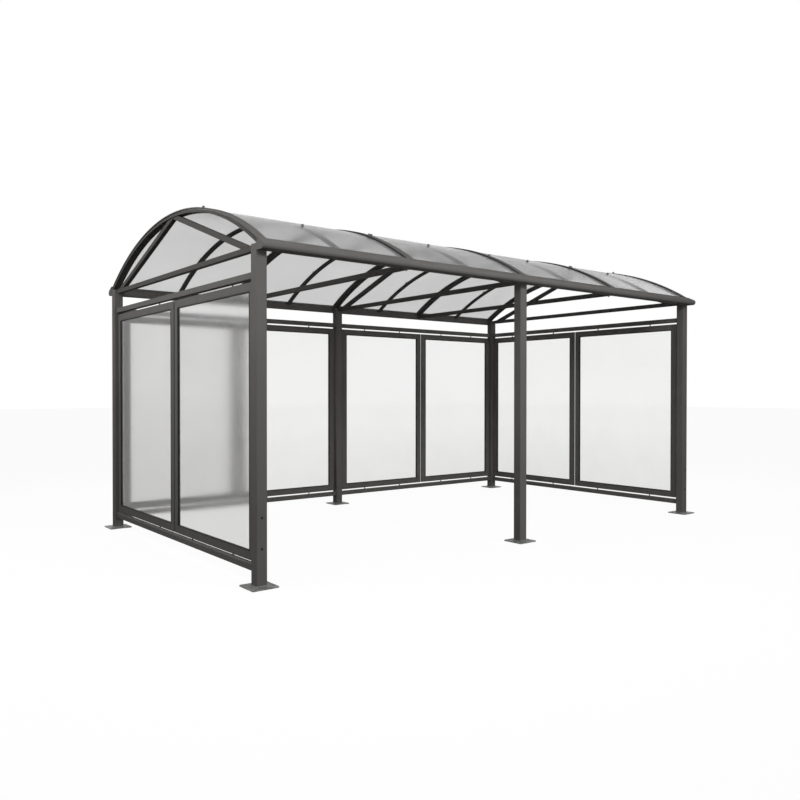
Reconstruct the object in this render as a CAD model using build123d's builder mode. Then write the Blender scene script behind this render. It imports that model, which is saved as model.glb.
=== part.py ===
import math
import os

from build123d import *

os.makedirs("parts", exist_ok=True)

# Bike shelter: square steel posts in two bays, framed wall panels on three
# sides, an open front, and a shallow barrel roof of translucent sheet on
# rolled steel arches. Millimetres, X along the open front, Y from the front
# to the back, Z up, origin on the ground at the centre of the footprint.

# Plan of the frame, between the centre lines of the posts
bay_count = 2
bay_length = 2500
frame_depth = 2840

# Posts and the plates that they stand on
post_size = 80
post_wall = 3
post_corner = 8
post_cap_thickness = 3
plate_size = 195
plate_thickness = 10
plate_chamfer = 5
anchor_spacing = 130
anchor_hole_radius = 9

# Wall rails between the posts, and the panel frames that stand between them
rail_size = 45
rail_wall = 2.5
rail_chamfer = 3
ground_clearance = 97
panel_height = 1858
panel_gap = 17
panel_side_gap = 17
panel_slit = 20
panel_thickness = 20
panel_face = 57
pane_thickness = 6
pane_groove_depth = 8
pane_play = 0.3
stud_radius = 6
stud_sides = 8
stud_inset = 328

# Height of the tie bars above the top rails, and their section
head_opening = 136
tie_size = 40
tie_wall = 2.5
tie_chamfer = 3
tie_spigot = 26
tie_spigot_length = 30

# Barrel roof: every second arch is a main arch with a clamping cap on top
arches_per_bay = 4
arch_rise = 425
arch_inset = 10
arch_thickness = 20
main_arch_width = 60
mid_arch_width = 40
seat = 0.3
sheet_thickness = 8
sheet_joint = 12
sheet_edge_margin = 10
cap_width = 62
cap_thickness = 8

# Straight rafters that brace the arches over the posts
rafter_size = 40
rafter_wall = 2.5
rafter_chamfer = 3
rafter_drop = 7.5
rafter_slope = 19.3

# Eave beams with a rounded nose, bolted to the outer faces of the posts
beam_drop = 7
beam_wall = 3
beam_projection = 93
nose_radius = 27
beam_top_slope = 25
beam_lip_inset = 10
sheet_end_gap = 1
ledge_gap = 1

# Levels and places that follow from the sizes above
shelter_length = bay_count * bay_length
wall_x = shelter_length / 2
wall_y = frame_depth / 2
post_half = post_size / 2
post_x = [index * bay_length - wall_x for index in range(bay_count + 1)]
panel_bottom = ground_clearance + rail_size + panel_gap
top_rail_bottom = panel_bottom + panel_height + panel_gap
tie_bottom = top_rail_bottom + rail_size + head_opening
tie_top = tie_bottom + tie_size
post_top = tie_top
beam_face = wall_y + post_half
frame_end = wall_x + post_half

# The roof is one cylinder: its radius follows from the span and the rise
half_span = beam_face - arch_inset
arch_inner_radius = (half_span**2 + arch_rise**2) / (2 * arch_rise)
arch_outer_radius = arch_inner_radius + arch_thickness
roof_axis_z = post_top + arch_rise - arch_inner_radius
sheet_inner_radius = arch_outer_radius + seat
sheet_outer_radius = sheet_inner_radius + sheet_thickness
cap_inner_radius = sheet_outer_radius + seat
cap_outer_radius = cap_inner_radius + cap_thickness
arch_pitch = bay_length / arches_per_bay
arch_count = bay_count * arches_per_bay + 1
lip_face = beam_face + beam_lip_inset
sheet_end = lip_face - sheet_end_gap


def arch_x(index):
    """Centre line of an arch, counted from the left end."""
    return index * arch_pitch - wall_x


def save(piece, name):
    """Label a finished piece and write it to its own file."""
    piece.label = name
    export_step(piece, f"parts/{name}.step")


def tube_section(plane, size, wall, edge):
    """Square hollow section of a light bar, with its outer edges taken off."""
    with BuildSketch(plane) as section:
        Rectangle(size, size)
        chamfer(section.vertices(), length=edge)
        Rectangle(size - 2 * wall, size - 2 * wall, mode=Mode.SUBTRACT)
    return section.sketch


def roof_band(inner_radius, outer_radius, half_width, foot_z, left):
    """Slice of the roof's curved band, cut off level at its feet."""
    with BuildSketch(Plane.YZ.offset(left)) as band:
        with Locations((0, roof_axis_z)):
            Circle(outer_radius)
            Circle(inner_radius, mode=Mode.SUBTRACT)
        with Locations((0, foot_z)):
            Rectangle(
                2 * half_width,
                2 * outer_radius,
                align=(Align.CENTER, Align.MIN),
                mode=Mode.INTERSECT,
            )
    return band.sketch


# Posts: square tube with rounded edges, closed at the head by a thin cap
post_rows = {"front": -wall_y, "back": wall_y}
post_columns = {0: "left", bay_count: "right"}
for row, y in post_rows.items():
    for column, x in enumerate(post_x):
        with BuildPart() as post:
            bore = post_size - 2 * post_wall
            with BuildSketch(Plane((x, y, plate_thickness))):
                RectangleRounded(post_size, post_size, post_corner)
            extrude(amount=post_top - plate_thickness)
            with BuildSketch(Plane((x, y, plate_thickness))):
                Rectangle(bore, bore)
            extrude(
                amount=post_top - post_cap_thickness - plate_thickness,
                mode=Mode.SUBTRACT,
            )
        place = post_columns.get(column, "middle" if bay_count == 2 else f"middle_{column}")
        save(post.part, f"post_{row}_{place}")

# Base plates: one square plate under each post with four anchor holes
with BuildPart() as base_plates:
    post_places = [(x, y) for y in post_rows.values() for x in post_x]
    with BuildSketch() as plates:
        with Locations(*post_places):
            Rectangle(plate_size, plate_size)
        chamfer(plates.vertices(), length=plate_chamfer)
        with Locations(*post_places):
            with GridLocations(anchor_spacing, anchor_spacing, 2, 2):
                Circle(anchor_hole_radius, mode=Mode.SUBTRACT)
    extrude(amount=plate_thickness)
save(base_plates.part, "base_plates")

# Wall rails: a bottom and a top rail between each pair of posts
rail_levels = [ground_clearance + rail_size / 2, top_rail_bottom + rail_size / 2]
side_rail_length = frame_depth - post_size
back_rail_length = bay_length - post_size
bay_centres = [(first + second) / 2 for first, second in zip(post_x, post_x[1:])]

for side, x in {"left": -wall_x, "right": wall_x}.items():
    with BuildPart() as side_rails:
        for z in rail_levels:
            start = Plane((x, -side_rail_length / 2, z), x_dir=(1, 0, 0), z_dir=(0, 1, 0))
            extrude(
                tube_section(start, rail_size, rail_wall, rail_chamfer),
                amount=side_rail_length,
            )
    save(side_rails.part, f"rails_{side}")

with BuildPart() as back_rails:
    for centre in bay_centres:
        for z in rail_levels:
            start = Plane(
                (centre - back_rail_length / 2, wall_y, z),
                x_dir=(0, 1, 0),
                z_dir=(1, 0, 0),
            )
            extrude(
                tube_section(start, rail_size, rail_wall, rail_chamfer),
                amount=back_rail_length,
            )
save(back_rails.part, "rails_back")


# Wall panels: two frames to a bay, each with a frosted pane let into a groove
# and held off the rails by short studs
def panel_width(clear_length):
    """Width of one of the two frames that share a bay."""
    return (clear_length - 2 * panel_side_gap - panel_slit) / 2


def panel_frame(wall_plane, width):
    """Frame centred on a vertical plane, with its window, groove and studs."""
    window_width = width - 2 * panel_face
    window_height = panel_height - 2 * panel_face
    stud_offset = width / 2 - stud_inset
    with BuildPart() as frame:
        with BuildSketch(wall_plane):
            Rectangle(width, panel_height)
            Rectangle(window_width, window_height, mode=Mode.SUBTRACT)
        extrude(amount=panel_thickness / 2, both=True)
        with BuildSketch(wall_plane):
            Rectangle(window_width + 2 * pane_groove_depth, window_height + 2 * pane_groove_depth)
        extrude(
            amount=pane_thickness / 2 + pane_play,
            both=True,
            mode=Mode.SUBTRACT,
        )
        for direction in (-1, 1):
            for offset_along in (-stud_offset, stud_offset):
                edge_point = wall_plane.from_local_coords(
                    (offset_along, direction * panel_height / 2, 0)
                )
                with BuildSketch(Plane(edge_point, z_dir=(0, 0, direction))):
                    RegularPolygon(stud_radius, stud_sides)
                extrude(amount=panel_gap)
    return frame.part


def pane(wall_plane, width):
    """Frosted sheet that fills a frame's window and the groove round it."""
    reach = 2 * (pane_groove_depth - pane_play - panel_face)
    with BuildPart() as sheet:
        with BuildSketch(wall_plane):
            Rectangle(width + reach, panel_height + reach)
        extrude(amount=pane_thickness / 2, both=True)
    return sheet.part


panel_middle_z = panel_bottom + panel_height / 2
side_panel_width = panel_width(side_rail_length)
back_panel_width = panel_width(back_rail_length)
side_panel_offset = (side_panel_width + panel_slit) / 2
back_panel_offset = (back_panel_width + panel_slit) / 2

wall_panels = {
    "left": [
        (Plane((-wall_x, y, panel_middle_z), x_dir=(0, 1, 0), z_dir=(1, 0, 0)), side_panel_width)
        for y in (-side_panel_offset, side_panel_offset)
    ],
    "right": [
        (Plane((wall_x, y, panel_middle_z), x_dir=(0, 1, 0), z_dir=(1, 0, 0)), side_panel_width)
        for y in (-side_panel_offset, side_panel_offset)
    ],
    "back": [
        (
            Plane((centre + offset, wall_y, panel_middle_z), x_dir=(-1, 0, 0), z_dir=(0, 1, 0)),
            back_panel_width,
        )
        for centre in bay_centres
        for offset in (-back_panel_offset, back_panel_offset)
    ],
}

for side, panels in wall_panels.items():
    frames = [panel_frame(wall_plane, width) for wall_plane, width in panels]
    with BuildPart() as wall_frames:
        add(frames)
    save(wall_frames.part, f"panel_frames_{side}")

    panes = [pane(wall_plane, width) for wall_plane, width in panels]
    with BuildPart() as wall_panes:
        add(panes)
    save(wall_panes.part, f"panes_{side}")

# Tie bars across the shelter: between the posts, or between the eave beams
for index in range(0, arch_count, 2):
    x = arch_x(index)
    over_posts = index % arches_per_bay == 0
    reach = wall_y - post_half if over_posts else beam_face
    with BuildPart() as tie:
        bar_half = reach - tie_spigot_length if over_posts else reach
        start = Plane((x, -bar_half, tie_bottom + tie_size / 2), x_dir=(1, 0, 0), z_dir=(0, 1, 0))
        extrude(tube_section(start, tie_size, tie_wall, tie_chamfer), amount=2 * bar_half)
        if over_posts:
            for direction in (-1, 1):
                end = Plane(
                    (x, direction * bar_half, tie_bottom + tie_size / 2),
                    x_dir=(1, 0, 0),
                    z_dir=(0, direction, 0),
                )
                with BuildSketch(end):
                    Rectangle(tie_size - 2 * tie_wall, tie_size - 2 * tie_wall)
                extrude(amount=-tie_wall)
                with BuildSketch(end):
                    Rectangle(tie_spigot, tie_spigot)
                extrude(amount=tie_spigot_length)
    save(tie.part, f"tie_{index + 1}")

# Rafters: two straight tubes meet under the crown of each arch over the posts
# and stand on the tie bar
apex_z = roof_axis_z + arch_inner_radius - rafter_drop
slope = math.radians(rafter_slope)
axis_lift = rafter_size / 2 / math.cos(slope)
rafter_length = beam_face / math.cos(slope)
for index in range(0, arch_count, arches_per_bay):
    x = arch_x(index)
    with BuildPart() as rafters:
        down_slope = (0, math.cos(slope), -math.sin(slope))
        start = Plane((x, 0, apex_z + axis_lift), x_dir=(1, 0, 0), z_dir=down_slope)
        bar = tube_section(start, rafter_size, rafter_wall, rafter_chamfer)
        extrude(bar, amount=rafter_length, both=True)
        with BuildSketch(Plane.YZ.offset(x - rafter_size)):
            with Locations((0, roof_axis_z)):
                Circle(arch_inner_radius - seat)
            with Locations((0, tie_top)):
                Rectangle(beam_face, 2 * arch_rise, align=(Align.MIN, Align.MIN), mode=Mode.INTERSECT)
        extrude(amount=2 * rafter_size, mode=Mode.INTERSECT)
        mirror(about=Plane.XZ)
    save(rafters.part, f"rafters_{index + 1}")

# Arches: flat bars rolled to the roof radius, wide ones under the caps and
# narrow ones half-way between them
for index in range(arch_count):
    width = main_arch_width if index % 2 == 0 else mid_arch_width
    left = arch_x(index) - width / 2
    arch_end = beam_face - seat
    arch_foot = post_top + seat
    with BuildPart() as arch:
        extrude(
            roof_band(arch_inner_radius, arch_outer_radius, arch_end, arch_foot, left),
            amount=width,
        )
    save(arch.part, f"arch_{index + 1}")

# Roof sheets: each spans two arch pitches and is clamped along both edges
sheet_count = (arch_count - 1) // 2
sheet_foot = post_top
for index in range(sheet_count):
    left = arch_x(2 * index) + sheet_joint / 2
    right = arch_x(2 * index + 2) - sheet_joint / 2
    if index == 0:
        left = arch_x(0) - cap_width / 2 + sheet_edge_margin
    if index == sheet_count - 1:
        right = arch_x(arch_count - 1) + cap_width / 2 - sheet_edge_margin
    with BuildPart() as sheet:
        extrude(
            roof_band(sheet_inner_radius, sheet_outer_radius, sheet_end, sheet_foot, left),
            amount=right - left,
        )
    save(sheet.part, f"roof_sheet_{index + 1}")

# Clamping caps: curved strips that press the sheet edges onto the arches
for index in range(0, arch_count, 2):
    left = arch_x(index) - cap_width / 2
    with BuildPart() as cap:
        extrude(
            roof_band(cap_inner_radius, cap_outer_radius, sheet_end, sheet_foot, left),
            amount=cap_width,
        )
    save(cap.part, f"cap_{index + 1}")

# Eave beams: closed box profile with a rounded nose, a sloping top and a
# rebate that takes the ends of the roof sheets
beam_bottom = tie_bottom - beam_drop
nose_y = beam_face + beam_projection - nose_radius
nose_z = beam_bottom + nose_radius
top_angle = math.radians(beam_top_slope)
slope_start_y = nose_y + nose_radius * math.sin(top_angle)
slope_start_z = nose_z + nose_radius * math.cos(top_angle)
lip_top_z = slope_start_z + (slope_start_y - lip_face) * math.tan(top_angle)
ledge_z = roof_axis_z + math.sqrt(sheet_inner_radius**2 - lip_face**2) - ledge_gap


def beam_outline(plane):
    """Outline of the back beam's cross-section on a plane across it."""
    with BuildSketch(plane) as outline:
        with BuildLine():
            bottom = Line((beam_face, beam_bottom), (nose_y, beam_bottom))
            nose = ThreePointArc(
                bottom @ 1,
                (nose_y + nose_radius, nose_z),
                (slope_start_y, slope_start_z),
            )
            Polyline(
                nose @ 1,
                (lip_face, lip_top_z),
                (lip_face, ledge_z),
                (beam_face, ledge_z),
                bottom @ 0,
            )
        make_face()
    return outline.sketch


with BuildPart() as back_beam:
    extrude(beam_outline(Plane.YZ.offset(-frame_end)), amount=2 * frame_end)
    with BuildSketch(Plane.YZ.offset(beam_wall - frame_end)):
        add(beam_outline(Plane.XY))
        offset(amount=-beam_wall, kind=Kind.INTERSECTION, mode=Mode.REPLACE)
    extrude(amount=2 * (frame_end - beam_wall), mode=Mode.SUBTRACT)
save(back_beam.part, "eave_beam_back")

with BuildPart() as front_beam:
    add(back_beam.part.mirror(Plane.XZ))
save(front_beam.part, "eave_beam_front")
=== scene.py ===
import math

import bpy
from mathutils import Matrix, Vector


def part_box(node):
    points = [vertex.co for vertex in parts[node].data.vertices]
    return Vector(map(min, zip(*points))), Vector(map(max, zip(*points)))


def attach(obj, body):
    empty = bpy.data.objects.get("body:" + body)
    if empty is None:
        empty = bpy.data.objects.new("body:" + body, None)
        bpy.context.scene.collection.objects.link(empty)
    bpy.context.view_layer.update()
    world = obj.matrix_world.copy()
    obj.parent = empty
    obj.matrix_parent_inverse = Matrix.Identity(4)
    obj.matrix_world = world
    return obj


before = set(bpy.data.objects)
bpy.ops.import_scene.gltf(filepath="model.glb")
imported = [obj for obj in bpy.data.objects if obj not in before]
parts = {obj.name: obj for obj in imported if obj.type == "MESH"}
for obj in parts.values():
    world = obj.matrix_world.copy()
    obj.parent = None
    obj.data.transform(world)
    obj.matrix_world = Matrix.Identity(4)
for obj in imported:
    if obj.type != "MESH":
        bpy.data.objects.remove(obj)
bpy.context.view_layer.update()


# Base plates: square steel plates, hot-dip galvanised to a dull grey-green
# zinc, each with four anchor holes that stay open.
class Value:
    """A socket that a node gives out. Sums on it add the Math nodes they need."""

    def __init__(self, graph, socket):
        self.graph = graph
        self.socket = socket

    def pick(self, name):
        """Another output of the same node."""
        return Value(self.graph, self.socket.node.outputs[name])

    def math(self, operation, first, second):
        return self.graph.node("ShaderNodeMath", {"operation": operation}, {0: first, 1: second})

    def __add__(self, other):
        return self.math("ADD", self, other)

    def __rsub__(self, other):
        return self.math("SUBTRACT", other, self)

    def __mul__(self, other):
        return self.math("MULTIPLY", self, other)

    __radd__ = __add__
    __rmul__ = __mul__


class Graph:
    """A node tree, in which every node comes from node()."""

    def __init__(self, tree):
        self.tree = tree

    def node(self, kind, settings=None, sockets=None, out=0):
        """A node with its settings made first, and then its sockets filled or linked."""
        made = self.tree.nodes.new(kind)
        for name, setting in (settings or {}).items():
            setattr(made, name, setting)
        for name, given in (sockets or {}).items():
            for value in given if isinstance(given, list) else [given]:
                if isinstance(value, Value):
                    self.tree.links.new(value.socket, made.inputs[name])
                else:
                    made.inputs[name].default_value = value
        return Value(self, made.outputs[out]) if made.outputs else made


class Finish(Graph):
    """A material, with its pattern worked out on Object coordinates in metres."""

    def __init__(self, name, constants):
        self.material = bpy.data.materials.new(name)
        self.material.use_nodes = True
        super().__init__(self.material.node_tree)
        self.shader = self.tree.nodes["Principled BSDF"]
        for socket, value in constants.items():
            self.shader.inputs[socket].default_value = value
        self.place = self.node("ShaderNodeTexCoord").pick("Object")

    def noise(self, scale, detail=2.0, stretch=(1.0, 1.0, 1.0)):
        """Noise of that many grains to the metre, drawn out where a stretch is under 1."""
        place = self.node("ShaderNodeMapping", {}, {"Vector": self.place, "Scale": stretch})
        return self.node("ShaderNodeTexNoise", {}, {"Vector": place, "Scale": scale, "Detail": detail})

    def band(self, value, low, high, start=0.0, end=1.0):
        """The value's run from low to high, made to run from start to end."""
        sockets = {"Value": value, "From Min": low, "From Max": high, "To Min": start, "To Max": end}
        return self.node("ShaderNodeMapRange", {}, sockets)

    def blend(self, share, first, second):
        """One colour passing into another."""
        return self.node("ShaderNodeMix", {"data_type": "RGBA"}, {0: share, 6: first, 7: second}, out=2)

    def bump(self, height, depth, strength, under=None):
        """A relief of that depth in metres, laid over another relief where one is given."""
        sockets = {"Height": height, "Distance": depth, "Strength": strength}
        if under:
            sockets["Normal"] = under
        return self.node("ShaderNodeBump", {}, sockets)

    def feed(self, sockets):
        """Join the pattern to the shader."""
        for name, value in sockets.items():
            self.tree.links.new(value.socket, self.shader.inputs[name])


def coat(finish, names):
    """Give solids of the frame their finish."""
    for name in names:
        for slot in parts[name].material_slots:
            slot.material = finish.material


zinc = Finish("dull_zinc", {"Metallic": 0.5})
cells = zinc.node("ShaderNodeTexVoronoi", {}, {"Vector": zinc.place, "Scale": 95.0}).pick("Color")
crystal = zinc.node("ShaderNodeSeparateColor", {}, {0: cells})
stain = zinc.noise(9.0, 5.0)
patch = zinc.noise(22.0, 3.0)
grit = zinc.noise(1300.0)
zinc_tone = zinc.blend(
    zinc.band(crystal * 0.20 + patch * 0.80, 0.36, 0.64),
    (0.105, 0.110, 0.104, 1),
    (0.275, 0.284, 0.270, 1),
)
zinc_tone = zinc.blend(zinc.band(stain, 0.55, 0.72, 0.0, 0.45), zinc_tone, (0.32, 0.315, 0.30, 1))
zinc.feed({
    "Base Color": zinc_tone,
    "Roughness": zinc.band(crystal + grit * 0.4, 0.1, 1.3, 0.42, 0.62),
    "Normal": zinc.bump(grit * 0.6 + crystal * 0.4, 0.0002, 0.5),
})
coat(zinc, ["base_plates"])

# Posts: square steel tube with a fine-textured powder coat, dark warm grey.
# Each is welded to its plate all round, and the bead is coated with zinc.
def powder_coat(name, dark, light, speck):
    """Textured paint, clouded and specked, dusty on top and worn at the edges."""
    paint = Finish(name, {"Specular IOR Level": 0.03})
    grain = paint.noise(950.0, 3.0)
    cloud = paint.noise(2.3, 4.0)
    drift = paint.noise(14.0, 4.0, (1.0, 1.0, 0.12))
    true_normal = paint.node("ShaderNodeNewGeometry").pick("Normal")
    upward = paint.node("ShaderNodeSeparateXYZ", {}, {0: true_normal}).pick("Z")
    rounded = paint.node("ShaderNodeBevel", {"samples": 4}, {"Radius": 0.002})
    flatness = paint.node(
        "ShaderNodeVectorMath", {"operation": "DOT_PRODUCT"}, {0: rounded, 1: true_normal}
    ).pick("Value")
    worn = paint.band(flatness, 0.985, 0.90) * paint.band(paint.noise(38.0, 4.0), 0.45, 0.62)
    dust = paint.band(upward, 0.6, 0.95) * paint.band(paint.noise(6.0, 5.0), 0.3, 0.8, 0.0, 0.15)
    paint_tone = paint.blend(paint.band(cloud * 0.6 + drift * 0.4, 0.3, 0.7), dark, light)
    paint_tone = paint.blend(paint.band(grain, 0.3, 0.7, 0.0, 0.3), paint_tone, speck)
    paint_tone = paint.blend(dust, paint_tone, (0.26, 0.25, 0.235, 1))
    paint_tone = paint.blend(worn * 0.35, paint_tone, (0.21, 0.205, 0.20, 1))
    paint.feed({
        "Base Color": paint_tone,
        "Roughness": paint.band(grain * 0.5 + drift * 0.5, 0.3, 0.7, 0.72, 0.86),
        "Normal": paint.bump(paint.noise(170.0), 0.0006, 0.25, under=paint.bump(grain, 0.0003, 0.5)),
    })
    return paint


paint = powder_coat(
    "powder_coat", (0.082, 0.0785, 0.075, 1), (0.104, 0.100, 0.096, 1), (0.125, 0.120, 0.115, 1)
)
posts = [name for name in parts if name.startswith("post_")]
coat(paint, posts)


def new_tree(name, inputs):
    """An empty Geometry Nodes tree, with inputs given as label, kind and start value."""
    tree = bpy.data.node_groups.new(name, "GeometryNodeTree")
    tree.interface.new_socket("Geometry", in_out="INPUT", socket_type="NodeSocketGeometry")
    for label, kind, start in inputs:
        socket = tree.interface.new_socket(label, in_out="INPUT", socket_type="NodeSocket" + kind)
        if start is not None:
            socket.default_value = start
    tree.interface.new_socket("Geometry", in_out="OUTPUT", socket_type="NodeSocketGeometry")
    return Graph(tree)


def close_tree(graph, solid, finish):
    """End a tree as a plain mesh in one material."""
    solid = graph.node("GeometryNodeRealizeInstances", {}, {"Geometry": solid})
    solid = graph.node("GeometryNodeSetMaterial", {}, {"Geometry": solid, "Material": finish})
    graph.node("NodeGroupOutput", {}, {"Geometry": solid})
    return graph.tree


def grow(name, tree, points, lines, directions, inputs):
    """Run a tree on a wire of points, and keep what it makes as a plain mesh."""
    wire = bpy.data.meshes.new(name)
    wire.from_pydata(points, lines, [])
    if directions:
        layer = wire.attributes.new("outward", "FLOAT_VECTOR", "POINT")
        for item, direction in zip(layer.data, directions):
            item.vector = direction
    piece = bpy.data.objects.new(name, wire)
    bpy.context.scene.collection.objects.link(piece)
    growth = piece.modifiers.new("growth", "NODES")
    growth.node_group = tree
    for socket in tree.interface.items_tree:
        if socket.in_out == "INPUT" and socket.name in inputs:
            growth[socket.identifier] = inputs[socket.name]
    evaluated = piece.evaluated_get(bpy.context.evaluated_depsgraph_get())
    piece.data = bpy.data.meshes.new_from_object(evaluated)
    piece.modifiers.clear()
    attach(piece, "root")
    return piece


bead = new_tree(
    "bead",
    (
        ("Bead Radius", "Float", 0.004),
        ("Corner Radius", "Float", 0.0),
        ("Beaded", "Bool", True),
        ("Step", "Float", 0.006),
        ("Ripple", "Float", 0.1),
        ("Seed", "Int", 3),
        ("Material", "Material", None),
    ),
)
given = bead.node("NodeGroupInput")
line = bead.node("GeometryNodeMeshToCurve", {}, {"Mesh": given.pick("Geometry")})
smooth = bead.node(
    "GeometryNodeFilletCurve",
    {"mode": "POLY"},
    {"Curve": line, "Count": 3, "Radius": given.pick("Corner Radius")},
)
stepped = bead.node(
    "GeometryNodeResampleCurve", {"mode": "LENGTH"}, {"Curve": line, "Length": given.pick("Step")}
)
line = bead.node(
    "GeometryNodeSwitch",
    {"input_type": "GEOMETRY"},
    {"Switch": given.pick("Beaded"), "False": smooth, "True": stepped},
)
ring = bead.node(
    "GeometryNodeCurvePrimitiveCircle", {}, {"Resolution": 8, "Radius": given.pick("Bead Radius")}
)
swell = bead.node(
    "FunctionNodeRandomValue",
    {"data_type": "FLOAT"},
    {2: 1.0 - given.pick("Ripple"), 3: 1.0 + given.pick("Ripple"), "Seed": given.pick("Seed")},
    out=1,
)
cord = bead.node(
    "GeometryNodeCurveToMesh",
    {},
    {"Curve": line, "Profile Curve": ring, "Scale": swell, "Fill Caps": True},
)
bead_tree = close_tree(bead, cord, given.pick("Material"))


def add_loop(points, lines, loop):
    """Add a closed loop of points to a wire."""
    first = len(points)
    points.extend(loop)
    lines.extend((first + step, first + (step + 1) % len(loop)) for step in range(len(loop)))


post_edge_radius = 0.008
weld_offset = 0.001
weld_height = 0.0015
plate_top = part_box("base_plates")[1].z
foot_points = []
foot_lines = []
for name in posts:
    low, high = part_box(name)
    loop = []
    for start, corner_x, corner_y in (
        (0, high.x - post_edge_radius, high.y - post_edge_radius),
        (90, low.x + post_edge_radius, high.y - post_edge_radius),
        (180, low.x + post_edge_radius, low.y + post_edge_radius),
        (270, high.x - post_edge_radius, low.y + post_edge_radius),
    ):
        for step in range(4):
            turn = math.radians(start + 30 * step)
            reach = post_edge_radius + weld_offset
            loop.append((
                corner_x + reach * math.cos(turn),
                corner_y + reach * math.sin(turn),
                plate_top + weld_height,
            ))
    add_loop(foot_points, foot_lines, loop)
grow(
    "post_foot_welds",
    bead_tree,
    foot_points,
    foot_lines,
    None,
    {"Bead Radius": 0.0042, "Material": zinc.material},
)

# Wall rails: light square tube between the posts, with the same powder coat.
# Their ends are welded to the faces of the posts all round.
coat(paint, ["rails_left", "rails_right", "rails_back"])
post_half = 0.040
reach = 0.0225
rail_points = []
rail_lines = []
for name in ("rails_left", "rails_right"):
    low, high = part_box(name)
    x = (low.x + high.x) / 2
    for z in (low.z + reach, high.z - reach):
        for y in (low.y, high.y):
            add_loop(rail_points, rail_lines, [
                (x - reach, y, z - reach), (x + reach, y, z - reach),
                (x + reach, y, z + reach), (x - reach, y, z + reach),
            ])
low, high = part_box("rails_back")
y = (low.y + high.y) / 2
for z in (low.z + reach, high.z - reach):
    for x in (low.x, -post_half, post_half, high.x):
        add_loop(rail_points, rail_lines, [
            (x, y - reach, z - reach), (x, y + reach, z - reach),
            (x, y + reach, z + reach), (x, y - reach, z + reach),
        ])
grow(
    "rail_end_welds",
    bead_tree,
    rail_points,
    rail_lines,
    None,
    {"Bead Radius": 0.0025, "Step": 0.005, "Seed": 5, "Material": paint.material},
)

# Panel frames: flat steel frames with the same coat, two to a bay. Short round
# studs hold them off the rails.
coat(paint, ["panel_frames_left", "panel_frames_right", "panel_frames_back"])

# Panes: frosted plastic sheets that haze what stands behind them. Those at the left end are tinted
# greyer as painted shade, and all of them are mixed towards a darker grey near the ground as painted
# shade. A black rubber bead seals each one into its frame, on both faces.
def frosted(name, thin, dense):
    """Frosted plastic, misty in broad clouds and darker near the ground as painted shade."""
    pane = Finish(name, {"Transmission Weight": 0.95, "IOR": 1.15, "Specular IOR Level": 0.5})
    mist = pane.noise(1.7, 3.0)
    height = pane.node("ShaderNodeSeparateXYZ", {}, {0: pane.place}).pick("Z")
    # Painted shade: the base colour darkens towards the ground.
    painted_low_shade = pane.band(height + pane.noise(5.0, 4.0) * 0.3, 0.25, 1.05, 1.0, 0.0)
    pane_tone = pane.blend(pane.band(mist, 0.3, 0.7), dense, thin)
    pane.feed({
        "Base Color": pane.blend(painted_low_shade * 0.55, pane_tone, (0.70, 0.70, 0.69, 1)),
        "Roughness": pane.band(mist, 0.3, 0.7, 0.13, 0.16),
        "Normal": pane.bump(pane.noise(4.0), 0.002, 0.05),
    })
    return pane


pane = frosted("frosted_panes", (0.935, 0.935, 0.93, 1), (0.91, 0.91, 0.905, 1))
# The greyer tint of the left panes is painted shade, not a different plastic.
painted_shade_left_pane = frosted("frosted_left_panes", (0.755, 0.752, 0.748, 1), (0.715, 0.712, 0.707, 1))
coat(pane, ["panes_back", "panes_right"])
coat(painted_shade_left_pane, ["panes_left"])

rubber = Finish("black_rubber", {"Specular IOR Level": 0.3})
rubber_grain = rubber.noise(700.0, 3.0)
rubber.feed({
    "Base Color": rubber.blend(
        rubber.band(rubber_grain, 0.3, 0.7), (0.010, 0.010, 0.010, 1), (0.019, 0.0185, 0.018, 1)
    ),
    "Roughness": rubber.band(rubber_grain, 0.3, 0.7, 0.62, 0.78),
    "Normal": rubber.bump(rubber_grain, 0.0001, 0.4),
})

panel_gap = 0.017
panel_slit = 0.020
panel_face = 0.057
pane_half = 0.003
seal_radius = 0.0048
seal_inset = panel_face + seal_radius
for side, along, bays in (
    ("left", Vector((0, 1, 0)), [(-1.38, 1.38)]),
    ("right", Vector((0, 1, 0)), [(-1.38, 1.38)]),
    ("back", Vector((1, 0, 0)), [(-2.46, -0.04), (0.04, 2.46)]),
):
    low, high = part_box("panel_frames_" + side)
    across = Vector((along.y, along.x, 0))
    bottom = low.z + panel_gap + seal_inset
    top = high.z - panel_gap - seal_inset
    seal_points = []
    seal_lines = []
    for first, last in bays:
        middle = (first + last) / 2
        for start, end in (
            (first + panel_gap, middle - panel_slit / 2),
            (middle + panel_slit / 2, last - panel_gap),
        ):
            for face in (-1, 1):
                depth = (low + high).dot(across) / 2 + face * (pane_half + seal_radius)
                add_loop(seal_points, seal_lines, [
                    across * depth + along * place + Vector((0, 0, z))
                    for place, z in (
                        (start + seal_inset, bottom),
                        (end - seal_inset, bottom),
                        (end - seal_inset, top),
                        (start + seal_inset, top),
                    )
                ])
    grow(
        "pane_seals_" + side,
        bead_tree,
        seal_points,
        seal_lines,
        None,
        {
            "Bead Radius": seal_radius, "Corner Radius": 0.006, "Beaded": False,
            "Ripple": 0.0, "Material": rubber.material,
        },
    )

# Tie bars: square tube across the shelter. Those over the posts end in a narrow spigot, and the others
# are bolted up under the eave beams. Ties, rafters and arches are given a darker tone of the coat than
# the posts, which is painted shade.
ties = ["tie_1", "tie_3", "tie_5", "tie_7", "tie_9"]
# The darker tone of this coat is painted shade on the roof steel.
painted_shade_coat = powder_coat(
    "sheltered_coat", (0.050, 0.048, 0.046, 1), (0.064, 0.0615, 0.059, 1), (0.078, 0.075, 0.072, 1)
)
coat(painted_shade_coat, ties)

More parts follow.
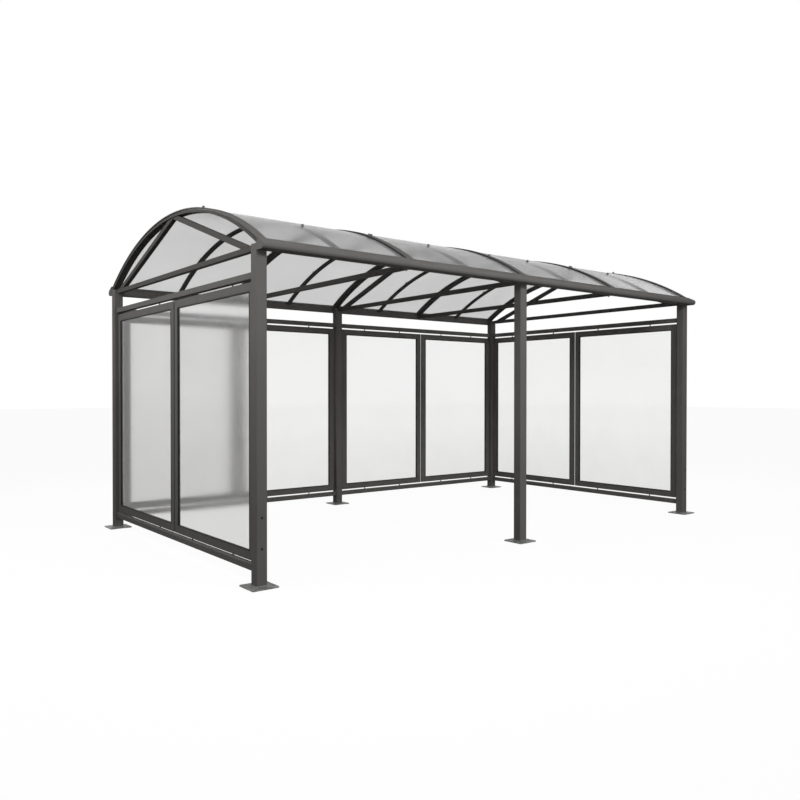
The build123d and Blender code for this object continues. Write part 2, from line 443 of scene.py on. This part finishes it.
steel = Finish("screw_steel", {"Metallic": 0.85})
steel_grain = steel.noise(900.0, 2.0)
steel.feed({
    "Base Color": steel.blend(
        steel.band(steel_grain, 0.3, 0.7), (0.085, 0.083, 0.080, 1), (0.15, 0.148, 0.145, 1)
    ),
    "Roughness": steel.band(steel_grain, 0.3, 0.7, 0.38, 0.52),
    "Normal": steel.bump(steel_grain, 0.0001, 0.3),
})

fastener = new_tree(
    "fastener",
    (
        ("Washer Radius", "Float", 0.010),
        ("Washer Height", "Float", 0.003),
        ("Head Radius", "Float", 0.006),
        ("Head Top Radius", "Float", 0.005),
        ("Head Height", "Float", 0.007),
        ("Head Sides", "Int", 6),
        ("Material", "Material", None),
    ),
)
given = fastener.node("NodeGroupInput")
washer = fastener.node(
    "GeometryNodeMeshCone",
    {},
    {
        "Vertices": 18,
        "Radius Top": given.pick("Washer Radius") * 0.82,
        "Radius Bottom": given.pick("Washer Radius"),
        "Depth": given.pick("Washer Height"),
    },
)
head = fastener.node(
    "GeometryNodeMeshCone",
    {},
    {
        "Vertices": given.pick("Head Sides"),
        "Radius Top": given.pick("Head Top Radius"),
        "Radius Bottom": given.pick("Head Radius"),
        "Depth": given.pick("Head Height"),
    },
)
lift = fastener.node("ShaderNodeCombineXYZ", {}, {"Z": given.pick("Washer Height")})
head = fastener.node("GeometryNodeTransform", {}, {"Geometry": head, "Translation": lift})
outward = fastener.node(
    "GeometryNodeInputNamedAttribute", {"data_type": "FLOAT_VECTOR"}, {"Name": "outward"}
)
turn = fastener.node("FunctionNodeAlignRotationToVector", {"axis": "Z"}, {"Vector": outward})
whole = fastener.node("GeometryNodeJoinGeometry", {}, {"Geometry": [washer, head]})
spots = fastener.node("GeometryNodeMeshToPoints", {}, {"Mesh": given.pick("Geometry")})
screws = fastener.node(
    "GeometryNodeInstanceOnPoints", {}, {"Points": spots, "Instance": whole, "Rotation": turn}
)
fastener_tree = close_tree(fastener, screws, given.pick("Material"))

tie_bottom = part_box("tie_3")[0].z
bolt_x = 1.25
bolt_y = 1.408
tie_bolts = [Vector((x, y, tie_bottom)) for x in (-bolt_x, bolt_x) for y in (-bolt_y, bolt_y)]
grow(
    "tie_bolts",
    fastener_tree,
    tie_bolts,
    [],
    [Vector((0, 0, -1))] * len(tie_bolts),
    {
        "Washer Radius": 0.011, "Washer Height": 0.002, "Head Radius": 0.0085,
        "Head Top Radius": 0.006, "Head Height": 0.008, "Head Sides": 18, "Material": steel.material,
    },
)

# Rafters: pairs of straight square tubes over the posts, welded between the tie
# bar and the crown of the arch above it.
coat(painted_shade_coat, ["rafters_1", "rafters_5", "rafters_9"])

# Arches: nine rolled steel bars from eave beam to eave beam. Those under the
# caps are wide, and those between them are narrow.
coat(painted_shade_coat, [f"arch_{number}" for number in range(1, 10)])

# Roof sheets: opal translucent plastic, bent cold over the arches. The daylight
# comes through them grey and soft, and the arches show faintly through.
opal = Finish("opal_sheet", {"Transmission Weight": 0.90, "IOR": 1.05, "Specular IOR Level": 0.5})
haze = opal.noise(1.3, 4.0)
opal.feed({
    "Base Color": opal.blend(opal.band(haze, 0.3, 0.7), (0.65, 0.65, 0.65, 1), (0.71, 0.71, 0.71, 1)),
    "Roughness": opal.band(haze, 0.3, 0.7, 0.14, 0.17),
    "Normal": opal.bump(opal.noise(4.0), 0.002, 0.05),
})
coat(opal, [f"roof_sheet_{number}" for number in range(1, 5)])

# Clamping caps: curved metal strips with the coat of the posts, screwed down
# through the sheets. On the narrow arches a single screw holds each slope.
caps = ["cap_1", "cap_3", "cap_5", "cap_7", "cap_9"]
coat(paint, caps)
roof_axis_z = -0.00603
cap_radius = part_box("cap_1")[1].z - roof_axis_z
sheet_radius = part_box("roof_sheet_2")[1].z - roof_axis_z
arch_pitch = 0.625
middle_arch = 5
single = (0.0,)
pair = (-0.011, 0.011)
screw_places = []
for number, distance, radius, spread in (
    (1, 0.548, cap_radius, single),
    (2, 0.930, sheet_radius, single),
    (3, 0.940, cap_radius, pair),
    (4, 0.930, sheet_radius, single),
    (5, 1.037, cap_radius, single),
    (6, 0.930, sheet_radius, single),
    (7, 0.940, cap_radius, pair),
    (8, 0.930, sheet_radius, single),
    (9, 0.548, cap_radius, single),
):
    for slope in (-1, 1):
        lean = Vector((0, slope * distance, math.sqrt(radius**2 - distance**2)))
        for shift in spread:
            x = (number - middle_arch) * arch_pitch + shift
            screw_places.append((lean + Vector((x, 0, roof_axis_z)), lean.normalized()))
grow(
    "roof_screws",
    fastener_tree,
    [place for place, _ in screw_places],
    [],
    [direction for _, direction in screw_places],
    {
        "Washer Radius": 0.014, "Washer Height": 0.004, "Head Radius": 0.0105,
        "Head Top Radius": 0.0085, "Head Height": 0.011, "Head Sides": 6, "Material": steel.material,
    },
)

# Cap seals: black rubber cords that lie on the sheets from eave to eave, along
# the edges of every cap. Past the ends of the roof there is none.
cord_radius = 0.004
cord_steps = 40
cord_path_radius = sheet_radius + cord_radius
roof_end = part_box("roof_sheet_4")[1].x
cord_points = []
cord_lines = []
for name in caps:
    low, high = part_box(name)
    reach = math.asin(high.y / cap_radius) - 0.006
    for x in (low.x - cord_radius, high.x + cord_radius):
        if abs(x) > roof_end:
            continue
        first = len(cord_points)
        for step in range(cord_steps + 1):
            turn = -reach + 2 * reach * step / cord_steps
            y = cord_path_radius * math.sin(turn)
            cord_points.append((x, y, roof_axis_z + cord_path_radius * math.cos(turn)))
        cord_lines.extend((first + step, first + step + 1) for step in range(cord_steps))
grow(
    "cap_seals",
    bead_tree,
    cord_points,
    cord_lines,
    None,
    {"Bead Radius": cord_radius, "Beaded": False, "Ripple": 0.0, "Material": rubber.material},
)

# Eave beams: folded steel with a rounded nose along both eaves, in the same
# coat as the posts that carry them.
coat(paint, ["eave_beam_front", "eave_beam_back"])

# Plugs: round black heads that close the fixing holes in the outer faces of the
# corner posts, two to a post.
plug_heights = (0.257, 0.461)
plug_points = []
plug_directions = []
for name in posts:
    if "middle" in name:
        continue
    low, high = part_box(name)
    face_y, outer_y = (low.y, -1) if "front" in name else (high.y, 1)
    for z in plug_heights:
        plug_points.append(Vector(((low.x + high.x) / 2, face_y, z)))
        plug_directions.append(Vector((0, outer_y, 0)))
grow(
    "post_plugs",
    fastener_tree,
    plug_points,
    [],
    plug_directions,
    {
        "Washer Radius": 0.0092, "Washer Height": 0.0025, "Head Radius": 0.0075,
        "Head Top Radius": 0.0048, "Head Height": 0.0035, "Head Sides": 20, "Material": rubber.material,
    },
)

# Studio: a pale floor that shows only a trace of the shadow, a white surround,
# long soft lamps along all four sides, and the camera where the photograph was
# taken.
floor_reach = 60
floor_mesh = bpy.data.meshes.new("floor")
floor_mesh.from_pydata(
    [(x * floor_reach, y * floor_reach, -0.001) for x, y in ((-1, -1), (1, -1), (1, 1), (-1, 1))],
    [],
    [(0, 1, 2, 3)],
)
floor = bpy.data.objects.new("floor", floor_mesh)
bpy.context.scene.collection.objects.link(floor)
pale = bpy.data.materials.new("pale_floor")
pale.use_nodes = True
pale.node_tree.nodes.clear()
ground = Graph(pale.node_tree)
ray = ground.node("ShaderNodeLightPath")
seen = ray.pick("Is Camera Ray") + ray.pick("Is Glossy Ray") + ray.pick("Is Transmission Ray")
matt = ground.node("ShaderNodeBsdfDiffuse", {}, {"Color": (0.8, 0.8, 0.8, 1)})
glow = ground.node("ShaderNodeEmission", {}, {"Color": (1, 1, 1, 1), "Strength": 1.0})
shown = ground.node("ShaderNodeMixShader", {}, {0: 0.95, 1: matt, 2: glow})
dark = ground.node("ShaderNodeBsdfDiffuse", {}, {"Color": (0.02, 0.02, 0.02, 1)})
both = ground.node("ShaderNodeMixShader", {}, {0: seen, 1: dark, 2: shown})
ground.node("ShaderNodeOutputMaterial", {}, {"Surface": both})
floor_mesh.materials.append(pale)

world = bpy.data.worlds.new("surround")
bpy.context.scene.world = world
world.use_nodes = True
world.node_tree.nodes.clear()
air = Graph(world.node_tree)
ray = air.node("ShaderNodeLightPath")
seen = ray.pick("Is Camera Ray") + ray.pick("Is Glossy Ray") + ray.pick("Is Transmission Ray")
light = air.node("ShaderNodeMapRange", {}, {"Value": seen, "To Min": 0.2, "To Max": 1.0})
sky = air.node("ShaderNodeBackground", {}, {"Color": (1, 1, 1, 1), "Strength": light})
air.node("ShaderNodeOutputWorld", {}, {"Surface": sky})

for name, place, target, size, power in (
    ("front", (-1.0, -4.3, 3.5), (-1.0, -1.46, 1.5), (6.0, 0.8), 155),
    ("fill", (0.5, -9.0, 1.0), (0.0, -1.0, 1.0), (4.0, 1.5), 210),
    ("left", (-4.7, -0.4, 3.2), (-2.54, -0.4, 1.5), (5.0, 0.8), 125),
    ("right", (5.4, 0.0, 3.6), (2.54, 0.0, 1.4), (5.0, 0.8), 80),
    ("back", (0.0, 4.6, 3.6), (0.0, 1.46, 1.4), (8.0, 0.8), 120),
):
    lamp = bpy.data.lights.new(name, "AREA")
    lamp.shape = "RECTANGLE"
    lamp.size, lamp.size_y = size
    lamp.energy = power
    stand = bpy.data.objects.new(name, lamp)
    stand.location = place
    stand.rotation_euler = (Vector(target) - Vector(place)).to_track_quat("-Z", "Y").to_euler()
    stand.visible_camera = False
    stand.visible_transmission = False
    stand.visible_glossy = False
    bpy.context.scene.collection.objects.link(stand)

view = bpy.data.cameras.new("camera")
view.sensor_width = 36.0
view.lens = 34.158
camera = bpy.data.objects.new("camera", view)
camera.location = (-4.8614, -5.9137, 1.2793)
camera.rotation_euler = (math.radians(89.468), math.radians(-0.021), math.radians(-38.246))
bpy.context.scene.collection.objects.link(camera)
bpy.context.scene.camera = camera
bpy.context.scene.view_settings.view_transform = "Standard"
